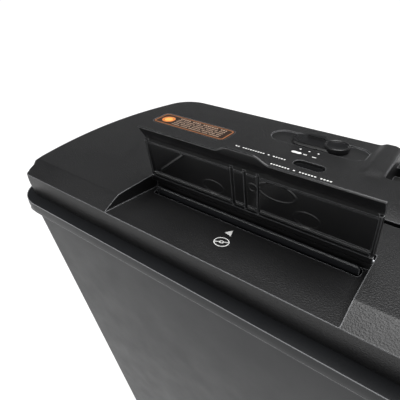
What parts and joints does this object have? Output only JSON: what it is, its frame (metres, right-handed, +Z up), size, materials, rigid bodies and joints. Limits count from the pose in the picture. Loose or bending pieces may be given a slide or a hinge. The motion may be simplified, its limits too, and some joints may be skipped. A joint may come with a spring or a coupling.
{
  "type": "paper shredder",
  "caption": "Desk-side paper shredder: tapered waste bin with a lift-off shredding head, paper throat and a hinged flap over a tray and slot for discs and cards.",
  "frame": {"origin": "centre of the footprint on the floor under the bin", "axes": "+X along the head to the right, -Y is the front with the disc tray, +Z up"},
  "size_m": [0.3588, 0.187, 0.3807],
  "materials": {
    "bin_plastic": "moulded polypropylene, fine grain",
    "black_abs": "moulded ABS, fine spark grain",
    "inner_plastic": "moulded, plain",
    "gloss_black": "polished",
    "steel": "machined and hardened",
    "zinc_plate": "zinc plated",
    "nylon": "moulded nylon",
    "bronze": "sintered bronze",
    "circuit_board": "solder mask",
    "component_black": "moulded",
    "label_film": "printed film",
    "rubber": "moulded"
  },
  "bodies": {
    "bin": {"waste_bin": "bin_plastic"},
    "head": {"head_cover": "black_abs", "lower_housing": "inner_plastic", "flap_pin_left": "steel", "flap_pin_right": "steel", "disc_guide_upper": "inner_plastic", "disc_guide_lower": "inner_plastic", "paper_guide_front": "inner_plastic", "paper_guide_rear": "inner_plastic", "mode_switch": "component_black", "button_spring": "steel", "button_switch": "component_black", "info_label": "label_film", "interlock_spring": "steel", "interlock_switch": "component_black", "stripper_front": "nylon", "stripper_rear": "nylon", "end_plate_left": "zinc_plate", "end_plate_right": "zinc_plate", "motor_plate": "zinc_plate", "tie_rod_1": "steel", "tie_rod_2": "steel", "tie_rod_3": "steel", "tie_rod_4": "steel", "bearing_front_left": "bronze", "bearing_front_right": "bronze", "bearing_rear_left": "bronze", "bearing_rear_right": "bronze", "axle_a": "steel", "axle_b": "steel", "motor": "zinc_plate", "thermal_cutout": "component_black", "control_board": "circuit_board", "relay": "component_black", "capacitor": "component_black", "paper_sensor_emitter": "component_black", "paper_sensor_receiver": "component_black", "cord_gland": "rubber", "cover_screw_1": "zinc_plate", "cover_screw_2": "zinc_plate", "cover_screw_3": "zinc_plate", "cover_screw_4": "zinc_plate", "cover_screw_5": "zinc_plate", "cover_screw_6": "zinc_plate"},
    "disc_flap": {"disc_flap": "black_abs"},
    "mode_knob": {"mode_knob": "black_abs"},
    "reset_button": {"reset_button": "gloss_black"},
    "interlock_plunger": {"interlock_plunger": "nylon"},
    "cutter_rear": {"cutter_rear": "steel", "drive_gear": "steel", "sync_gear_rear": "steel"},
    "cutter_front": {"cutter_front": "steel", "sync_gear_front": "steel"},
    "gear_b": {"gear_b": "nylon"},
    "gear_a": {"gear_a": "nylon"},
    "motor_rotor": {"motor_pinion": "steel"}
  },
  "joints": [
    {"name": "head_lift", "type": "slide", "parent": "bin", "child": "head", "axis": [0, 0, 1], "range_m": [0, 0.1]},
    {"name": "flap_hinge", "type": "hinge", "parent": "head", "child": "disc_flap", "pos_m": [0, -0.0433, 0.3382], "axis": [1, 0, 0], "range_deg": [0, 80]},
    {"name": "mode_slide", "type": "slide", "parent": "head", "child": "mode_knob", "axis": [1, 0, 0], "range_m": [-0.0068, 0.0068]},
    {"name": "button_push", "type": "slide", "parent": "head", "child": "reset_button", "axis": [0, 0, -1], "range_m": [0, 0.0015], "stiffness_N_per_m": 300, "springref_m": -0.001, "deforming": ["button_spring"]},
    {"name": "interlock_push", "type": "slide", "parent": "head", "child": "interlock_plunger", "axis": [0, 0, 1], "range_m": [0, 0.003], "stiffness_N_per_m": 200, "springref_m": -0.001, "deforming": ["interlock_spring"]},
    {"name": "cutter_rear_spin", "type": "hinge", "parent": "head", "child": "cutter_rear", "pos_m": [0, 0.0094, 0.278], "axis": [1, 0, 0], "continuous": true},
    {"name": "cutter_front_spin", "type": "hinge", "parent": "head", "child": "cutter_front", "pos_m": [0, -0.0256, 0.278], "axis": [1, 0, 0], "continuous": true},
    {"name": "gear_b_spin", "type": "hinge", "parent": "head", "child": "gear_b", "pos_m": [0, 0.02515, 0.30528], "axis": [1, 0, 0], "continuous": true},
    {"name": "gear_a_spin", "type": "hinge", "parent": "head", "child": "gear_a", "pos_m": [0, -0.0036, 0.30528], "axis": [1, 0, 0], "continuous": true},
    {"name": "motor_spin", "type": "hinge", "parent": "head", "child": "motor_rotor", "pos_m": [0, -0.03085, 0.29536], "axis": [1, 0, 0], "continuous": true}
  ],
  "couplings": [
    {"joint": "cutter_front_spin", "follows": "cutter_rear_spin", "ratio": -1},
    {"joint": "gear_b_spin", "follows": "cutter_rear_spin", "ratio": -3.2},
    {"joint": "gear_a_spin", "follows": "cutter_rear_spin", "ratio": 11.52},
    {"joint": "motor_spin", "follows": "cutter_rear_spin", "ratio": -55.296}
  ]
}
